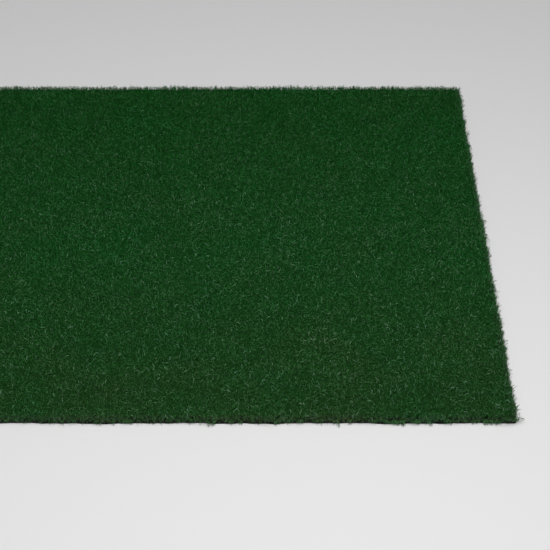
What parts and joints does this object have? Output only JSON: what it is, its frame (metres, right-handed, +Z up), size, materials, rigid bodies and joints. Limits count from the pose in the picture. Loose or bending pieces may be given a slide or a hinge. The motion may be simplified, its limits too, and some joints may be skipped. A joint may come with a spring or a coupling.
{
  "type": "golf hitting mat",
  "caption": "Rectangular golf hitting mat: dense dark green cut-pile turf tufted through a woven backing, coated with latex and laminated to a thin black foam underlay.",
  "frame": {"origin": "middle of the underside, on the ground", "axes": "+X along the long side and the tufting rows, +Y across the rows, +Z up through the pile"},
  "size_m": [1.524, 0.9144, 0.016],
  "materials": {
    "foam": "matt closed-cell foam",
    "adhesive": "satin film",
    "latex": "matt filled latex",
    "yarn": "texturised yarn",
    "backing": "woven slit tape",
    "turf": "curly texturised cut pile"
  },
  "bodies": {
    "root": {"foam_underlay": "foam", "laminating_adhesive": "adhesive", "latex_precoat": "latex", "back_stitches": "yarn", "primary_backing": "backing", "turf_pile": "turf"}
  },
  "joints": []
}
